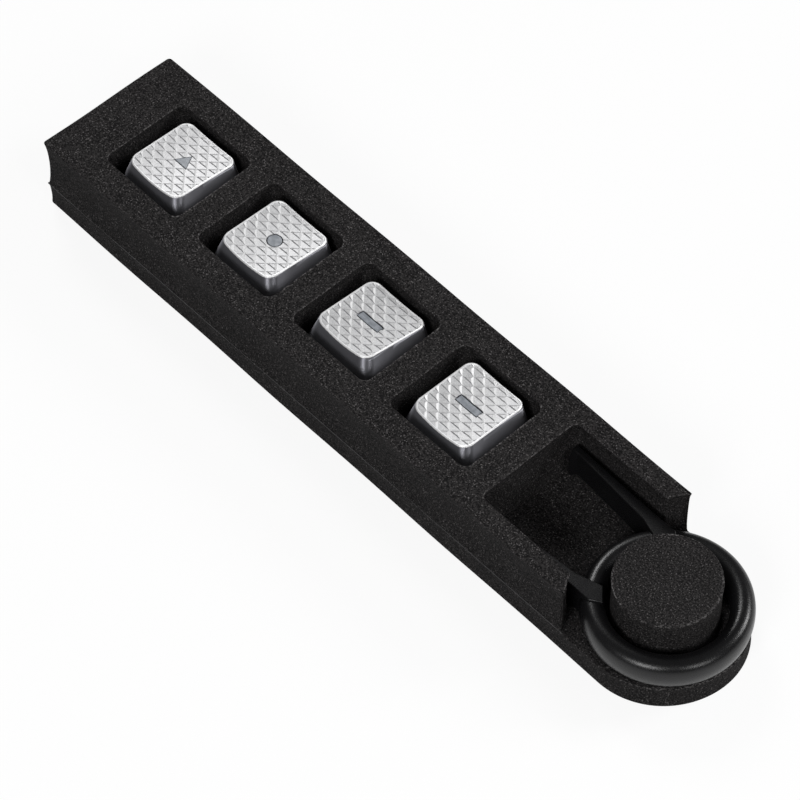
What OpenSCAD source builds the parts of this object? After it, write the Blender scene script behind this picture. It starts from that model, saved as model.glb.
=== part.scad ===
// Set of four keycaps and a ring-handled keycap puller in a two-sheet foam tray.
// Millimetres, +Z up, +X from the tray's square end to its round end.
// The origin is under the middle of the whole set, on the surface that it rests on.
// The fronts of the keycaps face -Y.

/* [Foam tray] */
// Width of both foam sheets
tray_w = 30; // [28:0.5:34]
// Length of the base sheet, from the square end to the tip of the round end
tray_l = 157.7; // [155:0.1:162]
// Thickness of the base sheet
base_t = 5; // [4:0.5:8]
// Thickness of the upper sheet, which has the cut-outs
sheet_t = 11.15; // [10:0.05:13]
// Thickness of the adhesive film between the foam pieces
film_t = 0.15; // [0.1:0.05:0.3]
// How far the cut sides of the upper sheet are drawn in at half height
sheet_draw = 0.4; // [0.1:0.05:0.6]
// How far the cut sides of the base sheet are drawn in at half height
base_draw = 0.2; // [0.05:0.05:0.4]

/* [Keycap pockets] */
// Distance from the square end to the middle of the first pocket
pocket_start = 19.95; // [18:0.05:22]
// Distance from one pocket's middle to the next
pocket_pitch = 24.9; // [24:0.1:25.5]
// Size of a pocket along the tray
pocket_x = 19.3; // [18.8:0.1:20]
// Size of a pocket across the tray
pocket_y = 18.6; // [18.4:0.1:20]
// Radius of a pocket's corners
pocket_r = 1.6; // [0.5:0.1:3]

/* [Puller bay] */
// Distance from the square end to the bay's closed end
bay_start = 110.2; // [109:0.1:110.4]
// Width of the bay
bay_w = 22.6; // [22.2:0.1:24]
// Radius of the bay's closed corners
bay_r = 1.2; // [0.5:0.1:1.4]
// Radius of the arc that ends the upper sheet beside the puller's ring
clearance_r = 24.8; // [24:0.1:26]
// How far that arc's middle lies past the middle of the round end
clearance_past = 11.1; // [10.9:0.1:11.4]
// Radius of the foam core inside the ring
core_r = 9.4; // [7:0.1:9.5]
// How far the core's middle lies past the middle of the round end
core_past = 0.4; // [0.3:0.05:0.7]
// How far the core's top lies under the upper sheet's top
core_drop = 0.7; // [0:0.1:2]
// How far the core's side is drawn in at half height
core_draw = 0.25; // [0.05:0.05:0.5]

/* [Keycaps] */
// Size of a keycap's foot, along and across
cap_foot = 18; // [17.5:0.1:18.2]
// Size at the waist, where the skirt starts to lean in
cap_waist = 17.4; // [17:0.1:17.5]
// Height of the waist
cap_waist_z = 4; // [3:0.1:5]
// Size of the top along the tray
cap_top_x = 13.4; // [12.5:0.1:14]
// Size of the top from front to back
cap_top_y = 14.3; // [13.5:0.1:15]
// How far the top's middle lies behind the foot's middle
cap_top_back = 0.8; // [0:0.1:1]
// Height of the top's rim, halfway from front to back
cap_h = 10.9; // [10.5:0.1:11.5]
// How far each top tips its front edge up, in degrees
cap_tips = [3.6, 3.6, 7.6, 1];
// Depth of the dish along the middle of the top
dish_depth = 0.45; // [0.2:0.05:0.8]
// Radius of the keycap's upright corners
cap_corner_r = 2; // [1.4:0.1:2.5]
// Thickness of the silver top plate
plate_t = 0.6; // [0.4:0.1:0.8]
// Thickness of the skirt's wall
cap_wall = 1.2; // [1:0.1:1.4]
// Height of the roof over the hollow
cap_roof_z = 7.2; // [6.5:0.1:7.4]
// Depth of the window under the top plate's face
window_sink = 0.12; // [0.05:0.01:0.3]

/* [Keycap marks and stems] */
// Side of the triangle
mark_triangle = 3; // [2:0.1:4]
// How far the triangle's middle lies from the top's middle, along and across the tray
mark_triangle_at = [0.15, 0.75];
// Diameter of the dot
mark_dot = 2.6; // [2:0.1:4]
// Length of the bar
mark_bar_l = 5; // [3:0.1:5.2]
// Width of the bar
mark_bar_w = 1.3; // [0.8:0.1:2]
// Radius of the stem's post
stem_r = 2.75; // [2.7:0.05:2.9]
// Height of the post's foot over the skirt's foot
stem_lift = 0.6; // [0:0.1:1.5]
// Length of each slot of the cross socket
cross_l = 4.1; // [4:0.05:4.2]
// Width of the slots
cross_w = 1.3; // [1.1:0.05:1.4]
// Depth of the cross socket
cross_d = 3.8; // [3:0.1:4.5]

/* [Puller] */
// How far the ring's middle lies past the middle of the round end
ring_past = 0.8; // [0.75:0.05:0.85]
// Radius of the ring to the middle of its section
ring_r = 12.5; // [12.4:0.05:12.6]
// Width of the ring's section
ring_w = 4.3; // [4.2:0.1:4.4]
// Height of the ring's section
ring_h = 6.1; // [5.9:0.1:6.2]
// Radius of the section's top and bottom
ring_nose_r = 2.05; // [1.9:0.05:2.05]
// Height of the arms
arm_h = 6.1; // [5.6:0.1:6.3]
// Height of the arms' lower edges over the bay's floor
arm_lift = 0.3; // [0.2:0.1:0.5]
// Gap between the arms at their tips
jaw_gap = 19.1; // [18.6:0.1:19.2]
// Thickness of an arm at its tip
arm_tip_t = 1.1; // [1:0.05:1.2]
// Thickness of an arm at its root
arm_root_t = 2.2; // [2:0.1:2.4]
// Distance from the puller's midline to an arm's outer face at its root
arm_root_out = 10.15; // [10:0.05:10.4]
// Distance from the tray's bay end to the arms' tips
tip_gap = 0.8; // [0.6:0.1:1]
// Reach of the hooks towards each other
hook_reach = 1; // [0.4:0.05:1.2]
// Length of the hooks along the arms
hook_l = 1.6; // [1.2:0.1:2.5]
// Height of the hooks at their inner edge
hook_h = 3.7; // [3:0.1:5]
// Distance from the ring's middle to the arms' flexing roots
root_back = 13.8; // [13.7:0.05:13.9]
// Gap round each flexing root
root_gap = 0.15; // [0.1:0.05:0.2]
// Distances from the puller's midline to the inner corners of a root's flat top
flat_in = 6.4; // [6.2:0.1:6.8]
flat_out = 8.8; // [8.6:0.1:9.2]
// Distance from the ring's middle to the outer corner of a root's flat top
flat_back = 8.4; // [8.2:0.1:8.6]
// How far a root's flat top reaches in past the middle of the ring's section
flat_past = 1.6; // [1.4:0.1:1.8]

/* [Hidden] */
$fn = 96;
cap_numbers = [1, 2, 3, 4];
end_x = tray_l - tray_w / 2;
core_x = end_x + core_past;
ring_x = end_x + ring_past;
floor_z = base_t;
sheet_z = base_t + film_t;
ring_outer = ring_r + ring_w / 2;
overall_l = max(tray_l, ring_x + ring_outer);
past = 1;
sliver = 0.01;

arm_tip_out = jaw_gap / 2 + arm_tip_t;
root_y = arm_root_out - arm_root_t / 2;
root_x = ring_x - root_back;
tip_x = bay_start + tip_gap;

// Radius of an arc of the given chord and sag
function arc_r(chord, sag) = (chord * chord / 4 + sag * sag) / (2 * sag);

// Share of the way from the waist to the top's rim, carried on past the rim
function rise(z) = (z - cap_waist_z) / (cap_h - cap_waist_z);
function cap_x(z) = cap_waist + (cap_top_x - cap_waist) * rise(z);
function cap_y(z) = cap_waist + (cap_top_y - cap_waist) * rise(z);
function cap_back(z) = cap_top_back * rise(z);
cap_over_z = cap_h + 1.6;
dish_r = arc_r(cap_top_x, dish_depth);

function pocket_mid(number) = pocket_start + (number - 1) * pocket_pitch;

// Moves what is measured from the square end to the part's own frame
module place() {
    translate([-overall_l / 2, 0, 0]) children();
}

// Rounded rectangle about the origin
module rounded_rect(x, y, r) {
    square([x - 2 * r, y], center = true);
    square([x, y - 2 * r], center = true);
    for (sx = [-1, 1], sy = [-1, 1]) {
        translate([sx * (x / 2 - r), sy * (y / 2 - r)]) circle(r);
    }
}

// Long cutter that draws in a straight side: its axis runs along X at y = 0 and it reaches to y = 0
module side_cutter(length, height, draw) {
    r = arc_r(height, draw);
    translate([0, r - draw, 0]) rotate([0, 90, 0]) cylinder(r = r, h = length, $fn = 180);
}

// Ring cutter that draws in a round side of the given radius
module round_cutter(radius, height, draw) {
    r = arc_r(height, draw);
    rotate_extrude($fn = 180) translate([radius + r - draw, 0]) circle(r, $fn = 180);
}

// Upper sheet seen from above, with its pockets, bay and clearance arc
module sheet_outline() {
    difference() {
        translate([0, -tray_w / 2]) square([end_x, tray_w]);
        for (number = cap_numbers) {
            translate([pocket_mid(number), 0]) rounded_rect(pocket_x, pocket_y, pocket_r);
        }
        translate([bay_start + tray_w / 2, 0]) rounded_rect(tray_w, bay_w, bay_r);
        translate([end_x + clearance_past, 0]) circle(clearance_r, $fn = 240);
    }
}

// Base sheet seen from above
module base_outline() {
    translate([0, -tray_w / 2]) square([end_x, tray_w]);
    translate([end_x, 0]) circle(tray_w / 2);
}

// Both long sides and the square end drawn in at half height
module straight_cuts(height, draw) {
    for (side = [-1, 1]) {
        mirror([0, side < 0 ? 1 : 0, 0]) translate([-past, tray_w / 2, height / 2])
            side_cutter(end_x + past, height, draw);
    }
    translate([0, -tray_w / 2 - past, height / 2]) rotate([0, 0, 90])
        side_cutter(tray_w + 2 * past, height, draw);
}

module foam_base_sheet() {
    color("#262524") place() difference() {
        linear_extrude(base_t) base_outline();
        straight_cuts(base_t, base_draw);
        intersection() {
            translate([end_x, 0, base_t / 2]) round_cutter(tray_w / 2, base_t, base_draw);
            translate([end_x, -tray_w, -past]) cube([tray_w, 2 * tray_w, base_t + 2 * past]);
        }
    }
}

module foam_tray_sheet() {
    color("#2a2928") place() translate([0, 0, sheet_z]) difference() {
        linear_extrude(sheet_t) sheet_outline();
        straight_cuts(sheet_t, sheet_draw);
    }
}

module foam_ring_core() {
    core_h = sheet_t - core_drop;
    color("#2a2928") place() translate([core_x, 0, sheet_z]) difference() {
        cylinder(r = core_r, h = core_h);
        translate([0, 0, core_h / 2]) round_cutter(core_r, core_h, core_draw);
    }
}

module tray_bond_film() {
    color("#1a1a1a") place() translate([0, 0, floor_z]) linear_extrude(film_t) sheet_outline();
}

module core_bond_film() {
    color("#1a1a1a") place() translate([core_x, 0, floor_z]) cylinder(r = core_r, h = film_t);
}

// Puts a keycap's pieces in the pocket of the given number
module in_pocket(number) {
    place() translate([pocket_mid(number), 0, floor_z]) children();
}

// Block between two rounded rectangles, each given as [size x, size y, shift back, height]
module tapered_block(low, high, r) {
    hull() {
        for (level = [low, high], sx = [-1, 1], sy = [-1, 1]) {
            translate([sx * (level[0] / 2 - r), level[2] + sy * (level[1] / 2 - r), level[3]])
                cylinder(r = r, h = sliver, $fn = 32);
        }
    }
}

// Upper part of the keycap's outside, carried on above the dish
module cap_crown() {
    tapered_block(
        [cap_waist, cap_waist, 0, cap_waist_z],
        [cap_x(cap_over_z), cap_y(cap_over_z), cap_back(cap_over_z), cap_over_z],
        cap_corner_r
    );
}

// Lower part of the keycap's outside
module cap_skirt() {
    tapered_block([cap_foot, cap_foot, 0, 0], [cap_waist, cap_waist, 0, cap_waist_z], cap_corner_r);
}

// Hollow under the keycap's roof
module cap_hollow() {
    wide = cap_foot - 2 * cap_wall;
    tapered_block(
        [wide, wide, 0, -past],
        [cap_x(cap_roof_z) - 2 * cap_wall, cap_y(cap_roof_z) - 2 * cap_wall, cap_back(cap_roof_z), cap_roof_z - sliver],
        cap_corner_r - 1
    );
}

// Everything above the dished top of a keycap, lowered by the given depth
module above_dish(number, depth) {
    translate([0, cap_top_back, cap_h - dish_depth - depth]) rotate([-cap_tips[number - 1], 0, 0])
        translate([0, 0, dish_r]) rotate([90, 0, 0])
            cylinder(r = dish_r, h = 2 * cap_foot, center = true, $fn = 180);
}

// Mark of a keycap, seen from above, about the middle of its top
module mark(number) {
    if (number == 1) {
        tall = mark_triangle * sqrt(3) / 2;
        translate(mark_triangle_at)
            polygon([[-mark_triangle / 2, -tall / 2], [mark_triangle / 2, -tall / 2], [0, tall / 2]]);
    } else if (number == 2) {
        circle(d = mark_dot);
    } else {
        square([mark_bar_l, mark_bar_w], center = true);
    }
}

// Upright prism of the mark, from the roof up past the top
module mark_prism(number) {
    translate([0, cap_top_back, cap_roof_z]) linear_extrude(cap_h) mark(number);
}

module keycap_shell(number) {
    color("#43454b") in_pocket(number) difference() {
        union() {
            cap_skirt();
            cap_crown();
        }
        above_dish(number, plate_t);
        cap_hollow();
        mark_prism(number);
    }
}

module keycap_plate(number) {
    color("#c9cbcd") in_pocket(number) difference() {
        intersection() {
            cap_crown();
            above_dish(number, plate_t);
        }
        above_dish(number, 0);
        mark_prism(number);
    }
}

module keycap_window(number) {
    color("#6d737c") in_pocket(number) difference() {
        mark_prism(number);
        above_dish(number, window_sink);
    }
}

module keycap_stem(number) {
    color("#303236") in_pocket(number) difference() {
        translate([0, 0, stem_lift]) cylinder(r = stem_r, h = cap_roof_z - stem_lift);
        for (turn = [0, 90]) {
            rotate([0, 0, turn]) translate([-cross_l / 2, -cross_w / 2, stem_lift - past])
                cube([cross_l, cross_w, cross_d + past]);
        }
    }
}

// Oval section of the ring, from two flank arcs and two noses that run into them
module ring_section() {
    flank = ring_w / 2;
    nose_z = ring_h / 2 - ring_nose_r;
    flank_r = (nose_z * nose_z + flank * flank - ring_nose_r * ring_nose_r) / (2 * (flank - ring_nose_r));
    flank_c = flank_r - flank;
    meet_z = flank_r * nose_z / (flank_r - ring_nose_r);
    intersection() {
        translate([-flank_c, 0]) circle(flank_r, $fn = 180);
        translate([flank_c, 0]) circle(flank_r, $fn = 180);
        square([2 * ring_w, 2 * meet_z], center = true);
    }
    for (end = [-1, 1]) {
        translate([0, end * nose_z]) circle(ring_nose_r);
    }
}

// Flat top of one arm's root seen from above, on the side of +Y, over the ring's crest
module root_outline() {
    inner_r = ring_r - flat_past;
    inner = [for (y = [flat_in, flat_out]) [ring_x - sqrt(inner_r * inner_r - y * y), y]];
    polygon(concat(
        [[root_x, root_y - arm_root_t / 2]],
        inner,
        [[ring_x - flat_back, arm_root_out], [root_x, arm_root_out]]
    ));
}

// Solid web between the ring and one arm's root, on the side of +Y
module root_web() {
    difference() {
        translate([0, 0, arm_lift]) linear_extrude(arm_h) root_outline();
        translate([root_x, root_y, -past]) cylinder(r = arm_root_t / 2 + root_gap, h = ring_h + 2 * past);
    }
}

// Ring with the flat tops of both roots over its crest
module puller_ring() {
    color("#0d0d0e") place() translate([0, 0, floor_z]) {
        translate([ring_x, 0, ring_h / 2]) rotate_extrude($fn = 180) translate([ring_r, 0]) ring_section();
        root_web();
        mirror([0, 1, 0]) root_web();
    }
}

// One arm on the side of +Y: a blade that thins towards its tip, with a hook
module arm() {
    inner_tip = jaw_gap / 2;
    linear_extrude(arm_h) {
        polygon([
            [root_x, root_y - arm_root_t / 2],
            [root_x, root_y + arm_root_t / 2],
            [tip_x, arm_tip_out],
            [tip_x, inner_tip]
        ]);
        translate([root_x, root_y]) circle(arm_root_t / 2);
    }
    difference() {
        linear_extrude(arm_h) polygon([
            [tip_x, inner_tip + sliver],
            [tip_x, inner_tip - hook_reach],
            [tip_x + hook_l / 2, inner_tip - hook_reach],
            [tip_x + hook_l, inner_tip + sliver]
        ]);
        translate([tip_x - past, inner_tip - hook_reach, hook_h])
            rotate([atan2(arm_h - hook_h, hook_reach), 0, 0]) translate([0, -arm_h, 0])
                cube([hook_l + 2 * past, 3 * arm_h, arm_h]);
    }
}

module puller_arm_left() {
    color("#0d0d0e") place() translate([0, 0, floor_z + arm_lift]) mirror([0, 1, 0]) arm();
}

module puller_arm_right() {
    color("#0d0d0e") place() translate([0, 0, floor_z + arm_lift]) arm();
}

foam_base_sheet();
foam_tray_sheet();
foam_ring_core();
tray_bond_film();
core_bond_film();
for (number = cap_numbers) {
    keycap_shell(number);
    keycap_plate(number);
    keycap_window(number);
    keycap_stem(number);
}
puller_ring();
puller_arm_left();
puller_arm_right();
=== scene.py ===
"""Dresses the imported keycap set: a foam tray, four keycaps and a ring-handled puller."""

import logging
import math
from contextlib import contextmanager
from dataclasses import dataclass
from enum import Enum
from typing import Any, Callable, Dict, Iterator, List, Optional, Sequence, Tuple, Union

import bmesh
import bpy
from mathutils import Matrix, Vector


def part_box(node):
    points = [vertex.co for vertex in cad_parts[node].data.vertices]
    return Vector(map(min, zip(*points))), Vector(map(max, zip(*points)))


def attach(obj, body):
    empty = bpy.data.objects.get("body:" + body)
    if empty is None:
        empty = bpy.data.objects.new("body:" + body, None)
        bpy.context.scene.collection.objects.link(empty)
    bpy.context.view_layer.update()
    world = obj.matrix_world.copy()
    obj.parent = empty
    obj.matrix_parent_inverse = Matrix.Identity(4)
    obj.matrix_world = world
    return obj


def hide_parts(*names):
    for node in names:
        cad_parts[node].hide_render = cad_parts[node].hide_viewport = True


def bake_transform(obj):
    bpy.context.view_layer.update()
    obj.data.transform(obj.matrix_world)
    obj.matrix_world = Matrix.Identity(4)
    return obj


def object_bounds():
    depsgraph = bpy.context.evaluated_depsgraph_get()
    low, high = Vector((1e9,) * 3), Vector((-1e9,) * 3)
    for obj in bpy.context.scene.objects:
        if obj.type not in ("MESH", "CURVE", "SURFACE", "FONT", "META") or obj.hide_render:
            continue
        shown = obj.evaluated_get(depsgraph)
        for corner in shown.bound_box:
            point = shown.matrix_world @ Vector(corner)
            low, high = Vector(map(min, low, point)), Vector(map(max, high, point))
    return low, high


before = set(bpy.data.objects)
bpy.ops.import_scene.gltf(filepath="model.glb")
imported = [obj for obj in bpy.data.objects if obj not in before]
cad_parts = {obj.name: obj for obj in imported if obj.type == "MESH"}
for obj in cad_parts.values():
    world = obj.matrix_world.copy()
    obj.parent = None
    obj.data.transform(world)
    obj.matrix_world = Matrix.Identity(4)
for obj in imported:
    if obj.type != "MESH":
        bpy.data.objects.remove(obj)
CAD_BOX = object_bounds()

MM = 0.001
HAIR = 0.001 * MM
NOISE_MIDDLE = 0.5
SQUARE = 0.99
NEARLY = 0.9
ALONG = Vector((1, 0, 0))
ACROSS = Vector((0, 1, 0))
UP = Vector((0, 0, 1))
LOG = logging.getLogger("keycap_tray")

Colour = Tuple[float, float, float, float]
Value = Union["Wire", float]
Rule = Callable[[Any], bool]


class Part(Enum):
    """What a selection rule looks at."""

    POINTS = "VERT"
    EDGES = "EDGE"
    FACES = "FACE"


class Combine(Enum):
    """How a tool shape acts on a piece."""

    CUT = "DIFFERENCE"
    COMMON = "INTERSECT"


class Side(Enum):
    """Which side of the tray a puller arm is on, as the sign of its place along Y."""

    LEFT = -1.0
    RIGHT = 1.0


class Wire:
    """A shader output that takes part in Python arithmetic."""

    def __init__(self, sheet: "NodeSheet", socket: bpy.types.NodeSocket) -> None:
        """Keeps the output and the sheet that its sums are added to."""
        self.sheet = sheet
        self.socket = socket

    def __add__(self, other: Value) -> "Wire":
        """This value plus another."""
        return self.sheet.maths("ADD", self, other)

    def __sub__(self, other: Value) -> "Wire":
        """This value less another."""
        return self.sheet.maths("SUBTRACT", self, other)

    def __mul__(self, other: Value) -> "Wire":
        """This value times another."""
        return self.sheet.maths("MULTIPLY", self, other)

    def about(self, level: float, spread: float) -> "Wire":
        """This noise, brought about another level and spread so much more."""
        return (self - NOISE_MIDDLE) * spread + level

    def limited(self) -> "Wire":
        """This value held between 0 and 1."""
        return self.sheet.add("ShaderNodeClamp", inputs={"Value": self})


class NodeSheet:
    """The node tree of one material."""

    def __init__(self, name: str) -> None:
        """Starts an empty material of that name."""
        self.material = bpy.data.materials.new(name)
        self.material.use_nodes = True
        self.tree = self.material.node_tree
        self.tree.nodes.clear()

    def add(
        self,
        kind: str,
        settings: Optional[Dict[str, Any]] = None,
        inputs: Optional[Dict[Union[str, int], Any]] = None,
        output: Union[str, int] = 0,
    ) -> Optional[Wire]:
        """Adds a node, sets it and links it.

        Args:
            kind: The node's type name.
            settings: Its own settings, set before its sockets.
            inputs: A number, a colour or a wire for each socket, by name or by place.
            output: The output that is returned.

        Returns:
            The chosen output, or None for a node that has no output.
        """
        node = self.tree.nodes.new(kind)
        for key, setting in (settings or {}).items():
            setattr(node, key, setting)
        for key, value in (inputs or {}).items():
            if isinstance(value, Wire):
                self.tree.links.new(value.socket, node.inputs[key])
            else:
                node.inputs[key].default_value = value
        return Wire(self, node.outputs[output]) if node.outputs else None

    def maths(self, operation: str, first: Value, second: Value) -> Wire:
        """One Math node on two values."""
        return self.add("ShaderNodeMath", {"operation": operation}, {0: first, 1: second})

    def place(self) -> Wire:
        """Where a point is, in the tray's own frame."""
        return self.add("ShaderNodeTexCoord", output="Object")

    def noise(self, place: Wire, size: float, detail: float, roughness: float = 0.5) -> Wire:
        """Makes soft noise.

        Args:
            place: The point to look up.
            size: How wide one lump is, in metres.
            detail: How many finer layers ride on it.
            roughness: How strong the finer layers are.

        Returns:
            A value about 0.5.
        """
        inputs = {"Vector": place, "Scale": 1 / size, "Detail": detail, "Roughness": roughness}
        return self.add("ShaderNodeTexNoise", inputs=inputs)

    def attribute(self, name: str) -> Wire:
        """A value that the mesh carries at its points."""
        return self.add("ShaderNodeAttribute", {"attribute_name": name}, output="Fac")

    def tint(self, share: Value, first: Union[Wire, Colour], second: Union[Wire, Colour]) -> Wire:
        """Goes from the first colour to the second as the share goes from 0 to 1."""
        return self.add("ShaderNodeMix", {"data_type": "RGBA"}, {0: share, 6: first, 7: second}, 2)

    def bump(self, height: Wire, depth: float, strength: float) -> Wire:
        """Turns a height into a bumped normal, with the depth in metres."""
        return self.add("ShaderNodeBump", inputs={"Height": height, "Distance": depth, "Strength": strength})

    def close(self, surface: Wire) -> bpy.types.Material:
        """Ends the sheet in a shader and returns its material."""
        self.add("ShaderNodeOutputMaterial", inputs={"Surface": surface})
        return self.material

    def done(self, inputs: Dict[str, Any]) -> bpy.types.Material:
        """Ends the sheet in a Principled shader and returns its material."""
        return self.close(self.add("ShaderNodeBsdfPrincipled", inputs=inputs))


@dataclass(frozen=True)
class FoamFinish:
    """Charcoal closed-cell foam with open pores, pale specks and scuffed cut edges, whose lightening is also
    a painted highlight, strongest on rims that face −X.
    """

    pore: Colour = (0.0055, 0.0053, 0.0055, 1)
    body: Colour = (0.0295, 0.0277, 0.0277, 1)
    speck: Colour = (0.120, 0.114, 0.114, 1)
    scuff_glint: Colour = (0.19, 0.182, 0.182, 1)
    grain_size: float = 0.30 * MM
    speck_size: float = 0.26 * MM
    cloud_size: float = 9.0 * MM
    scuff_glint_size: float = 0.36 * MM
    cell_level: float = 0.42
    cell_spread: float = 5.5
    cloud_spread: float = 0.5
    speck_from: float = 0.62
    speck_spread: float = 9.0
    speck_rise: float = 0.4
    scuff_glint_level: float = 0.1
    scuff_glint_spread: float = 7.0
    scuff_glint_cover: float = 0.85
    roughness: float = 0.88
    shine: float = 0.08
    bump_depth: float = 0.10 * MM
    bump_strength: float = 0.55

    def make(self) -> bpy.types.Material:
        """Builds the foam's material and returns it."""
        sheet = NodeSheet("charcoal_foam")
        place = sheet.place()
        grain = sheet.noise(place, self.grain_size, detail=2.0, roughness=0.6)
        specks = sheet.noise(place, self.speck_size, detail=1.0)
        cloud = sheet.noise(place, self.cloud_size, detail=2.0)
        broken = sheet.noise(place, self.scuff_glint_size, detail=2.0)
        cells = (grain.about(self.cell_level, self.cell_spread) + cloud.about(0, self.cloud_spread)).limited()
        dots = ((specks - self.speck_from) * self.speck_spread).limited()
        # Rims are lightened partly as scuffs and partly as a painted highlight, by the per-point rim mask.
        scuff_glint_mask = sheet.attribute("scuff_glint_mask") * broken.about(self.scuff_glint_level, self.scuff_glint_spread).limited()
        skin = sheet.tint(cells, self.pore, self.body)
        speckled = sheet.tint(dots, skin, self.speck)
        return sheet.done({
            "Base Color": sheet.tint(scuff_glint_mask * self.scuff_glint_cover, speckled, self.scuff_glint),
            "Roughness": self.roughness,
            "Specular IOR Level": self.shine,
            "Normal": sheet.bump(grain + dots * self.speck_rise, self.bump_depth, self.bump_strength),
        })


@dataclass(frozen=True)
class SkirtFinish:
    """Satin gunmetal lacquer over moulded plastic."""

    low: Colour = (0.24, 0.24, 0.265, 1)
    high: Colour = (0.37, 0.37, 0.405, 1)
    grain_size: float = 0.12 * MM
    cloud_size: float = 2.5 * MM
    grain_share: float = 0.6
    metal: float = 0.8
    roughness: float = 0.45
    grain_spread: float = 0.2
    cloud_spread: float = 0.08
    brushing: float = 0.9
    brushing_turn: float = 0.25
    bump_depth: float = 0.012 * MM
    bump_strength: float = 0.5

    def make(self) -> bpy.types.Material:
        """Builds the skirts' material and returns it."""
        sheet = NodeSheet("gunmetal_lacquer")
        place = sheet.place()
        grain = sheet.noise(place, self.grain_size, detail=2.0)
        cloud = sheet.noise(place, self.cloud_size, detail=2.0)
        mottle = (grain * self.grain_share + cloud * (1 - self.grain_share)).limited()
        polish = grain.about(self.roughness, self.grain_spread) + cloud.about(0, self.cloud_spread)
        return sheet.done({
            "Base Color": sheet.tint(mottle, self.low, self.high),
            "Metallic": self.metal,
            "Roughness": polish.limited(),
            "Anisotropic": self.brushing,
            "Anisotropic Rotation": self.brushing_turn,
            "Normal": sheet.bump(grain, self.bump_depth, self.bump_strength),
        })


@dataclass(frozen=True)
class SilverFinish:
    """Blasted silver of the keycap tops, dull and faintly mottled, with painted shade on the relief's foot
    slopes that face −Y and a painted highlight on slopes that face +X and +Y and on the border.
    """

    low: Colour = (0.44, 0.44, 0.45, 1)
    high: Colour = (0.72, 0.72, 0.725, 1)
    painted_foot_shade: Colour = (0.20, 0.20, 0.21, 1)
    painted_highlight: Colour = (0.92, 0.92, 0.925, 1)
    grain_size: float = 0.22 * MM
    cloud_size: float = 3.0 * MM
    grain_spread: float = 2.4
    cloud_spread: float = 0.35
    painted_foot_shade_cover: float = 0.7
    painted_highlight_cover: float = 0.8
    metal: float = 0.5
    roughness: float = 0.48
    roughness_spread: float = 0.3
    bump_depth: float = 0.03 * MM
    bump_strength: float = 0.5

    def make(self) -> bpy.types.Material:
        """Builds the tops' material and returns it."""
        sheet = NodeSheet("blasted_silver")
        place = sheet.place()
        grain = sheet.noise(place, self.grain_size, detail=3.0, roughness=0.65)
        cloud = sheet.noise(place, self.cloud_size, detail=2.0)
        mottle = grain.about(NOISE_MIDDLE, self.grain_spread) + cloud.about(0, self.cloud_spread)
        silver = sheet.tint(mottle.limited(), self.low, self.high)
        # Painted shade darkens the foot slopes facing −Y; a painted highlight lightens slopes facing +X and
        # +Y and the border.
        silver_with_painted_shade = sheet.tint(sheet.attribute("painted_foot_shade") * self.painted_foot_shade_cover, silver, self.painted_foot_shade)
        return sheet.done({
            "Base Color": sheet.tint(sheet.attribute("painted_highlight") * self.painted_highlight_cover, silver_with_painted_shade, self.painted_highlight),
            "Metallic": self.metal,
            "Roughness": grain.about(self.roughness, self.roughness_spread).limited(),
            "Normal": sheet.bump(grain, self.bump_depth, self.bump_strength),
        })


@dataclass(frozen=True)
class WindowFinish:
    """Smoked plastic of the light windows."""

    deep: Colour = (0.17, 0.185, 0.205, 1)
    pale: Colour = (0.30, 0.32, 0.35, 1)
    cloud_size: float = 0.9 * MM
    cloud_spread: float = 2.0
    roughness: float = 0.26
    roughness_spread: float = 0.2
    coat: float = 0.3

    def make(self) -> bpy.types.Material:
        """Builds the windows' material and returns it."""
        sheet = NodeSheet("smoked_window")
        cloud = sheet.noise(sheet.place(), self.cloud_size, detail=3.0)
        smoke = cloud.about(NOISE_MIDDLE, self.cloud_spread).limited()
        return sheet.done({
            "Base Color": sheet.tint(smoke, self.deep, self.pale),
            "Roughness": cloud.about(self.roughness, self.roughness_spread).limited(),
            "Coat Weight": self.coat,
        })


@dataclass(frozen=True)
class StemFinish:
    """Dark moulded plastic of the posts under the caps."""

    low: Colour = (0.030, 0.031, 0.035, 1)
    high: Colour = (0.048, 0.049, 0.054, 1)
    grain_size: float = 0.25 * MM
    roughness: float = 0.505
    roughness_spread: float = 0.25
    bump_depth: float = 0.01 * MM
    bump_strength: float = 0.4

    def make(self) -> bpy.types.Material:
        """Builds the stems' material and returns it."""
        sheet = NodeSheet("stem_plastic")
        grain = sheet.noise(sheet.place(), self.grain_size, detail=3.0)
        return sheet.done({
            "Base Color": sheet.tint(grain, self.low, self.high),
            "Roughness": grain.about(self.roughness, self.roughness_spread).limited(),
            "Normal": sheet.bump(grain, self.bump_depth, self.bump_strength),
        })


@dataclass(frozen=True)
class FilmFinish:
    """Dull black adhesive between the foam sheets."""

    low: Colour = (0.007, 0.007, 0.0075, 1)
    high: Colour = (0.017, 0.0165, 0.017, 1)
    streak_size: float = 1.2 * MM
    roughness: float = 0.55
    roughness_spread: float = 0.4
    bump_depth: float = 0.02 * MM
    bump_strength: float = 0.4

    def make(self) -> bpy.types.Material:
        """Builds the adhesive's material and returns it."""
        sheet = NodeSheet("bond_adhesive")
        streak = sheet.noise(sheet.place(), self.streak_size, detail=4.0)
        return sheet.done({
            "Base Color": sheet.tint(streak, self.low, self.high),
            "Roughness": streak.about(self.roughness, self.roughness_spread).limited(),
            "Normal": sheet.bump(streak, self.bump_depth, self.bump_strength),
        })


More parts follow.
